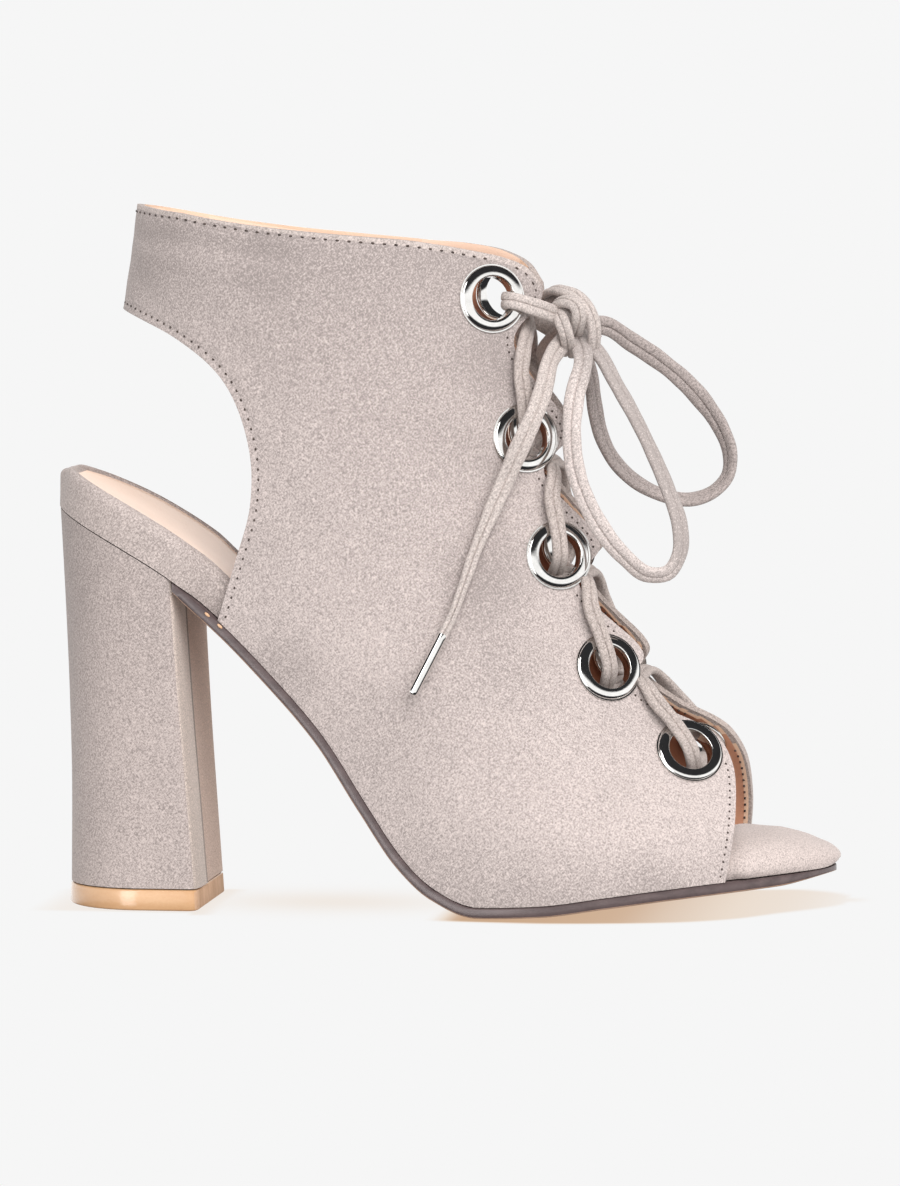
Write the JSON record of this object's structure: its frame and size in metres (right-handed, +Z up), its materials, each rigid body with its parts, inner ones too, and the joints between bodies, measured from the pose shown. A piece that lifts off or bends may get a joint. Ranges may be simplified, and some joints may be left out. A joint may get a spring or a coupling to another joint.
{
  "type": "open-toe lace-up block-heel ankle boot",
  "caption": "Ankle boot with an open toe, a heel cut-out under a back strap, a scalloped lace-up throat with large metal eyelets, a bow, and a high block heel.",
  "frame": {"origin": "on the floor, under the middle of the standing shoe", "axes": "+X from the heel to the toe, +Y to the inner side of the foot, +Z up"},
  "size_m": [0.2093, 0.082, 0.1874],
  "materials": {
    "suede": "napped faux suede, matte",
    "lining": "smooth pale peach lining",
    "outsole": "satin dark brown edge",
    "lift": "glossy tan",
    "nickel": "polished nickel",
    "lace": "flat faux suede lace"
  },
  "bodies": {
    "root": {"outsole": "outsole", "footbed": "suede", "sock": "lining", "heel_block": "suede", "top_lift": "lift", "upper": "suede", "eyelet_outer_1": "nickel", "eyelet_outer_2": "nickel", "eyelet_outer_3": "nickel", "eyelet_outer_4": "nickel", "eyelet_outer_5": "nickel", "eyelet_inner_1": "nickel", "eyelet_inner_2": "nickel", "eyelet_inner_3": "nickel", "eyelet_inner_4": "nickel", "eyelet_inner_5": "nickel", "lace_crossing_1": "lace", "lace_crossing_2": "lace", "lace_crossing_3": "lace", "lace_crossing_4": "lace", "lace_bar": "lace", "lace_knot": "lace", "lace_loop_front": "lace", "lace_loop_back": "lace", "lace_lead_outer": "lace", "lace_lead_inner": "lace", "lace_end_outer": "lace", "lace_end_inner": "lace", "aglet_outer": "nickel", "aglet_inner": "nickel"}
  },
  "joints": []
}
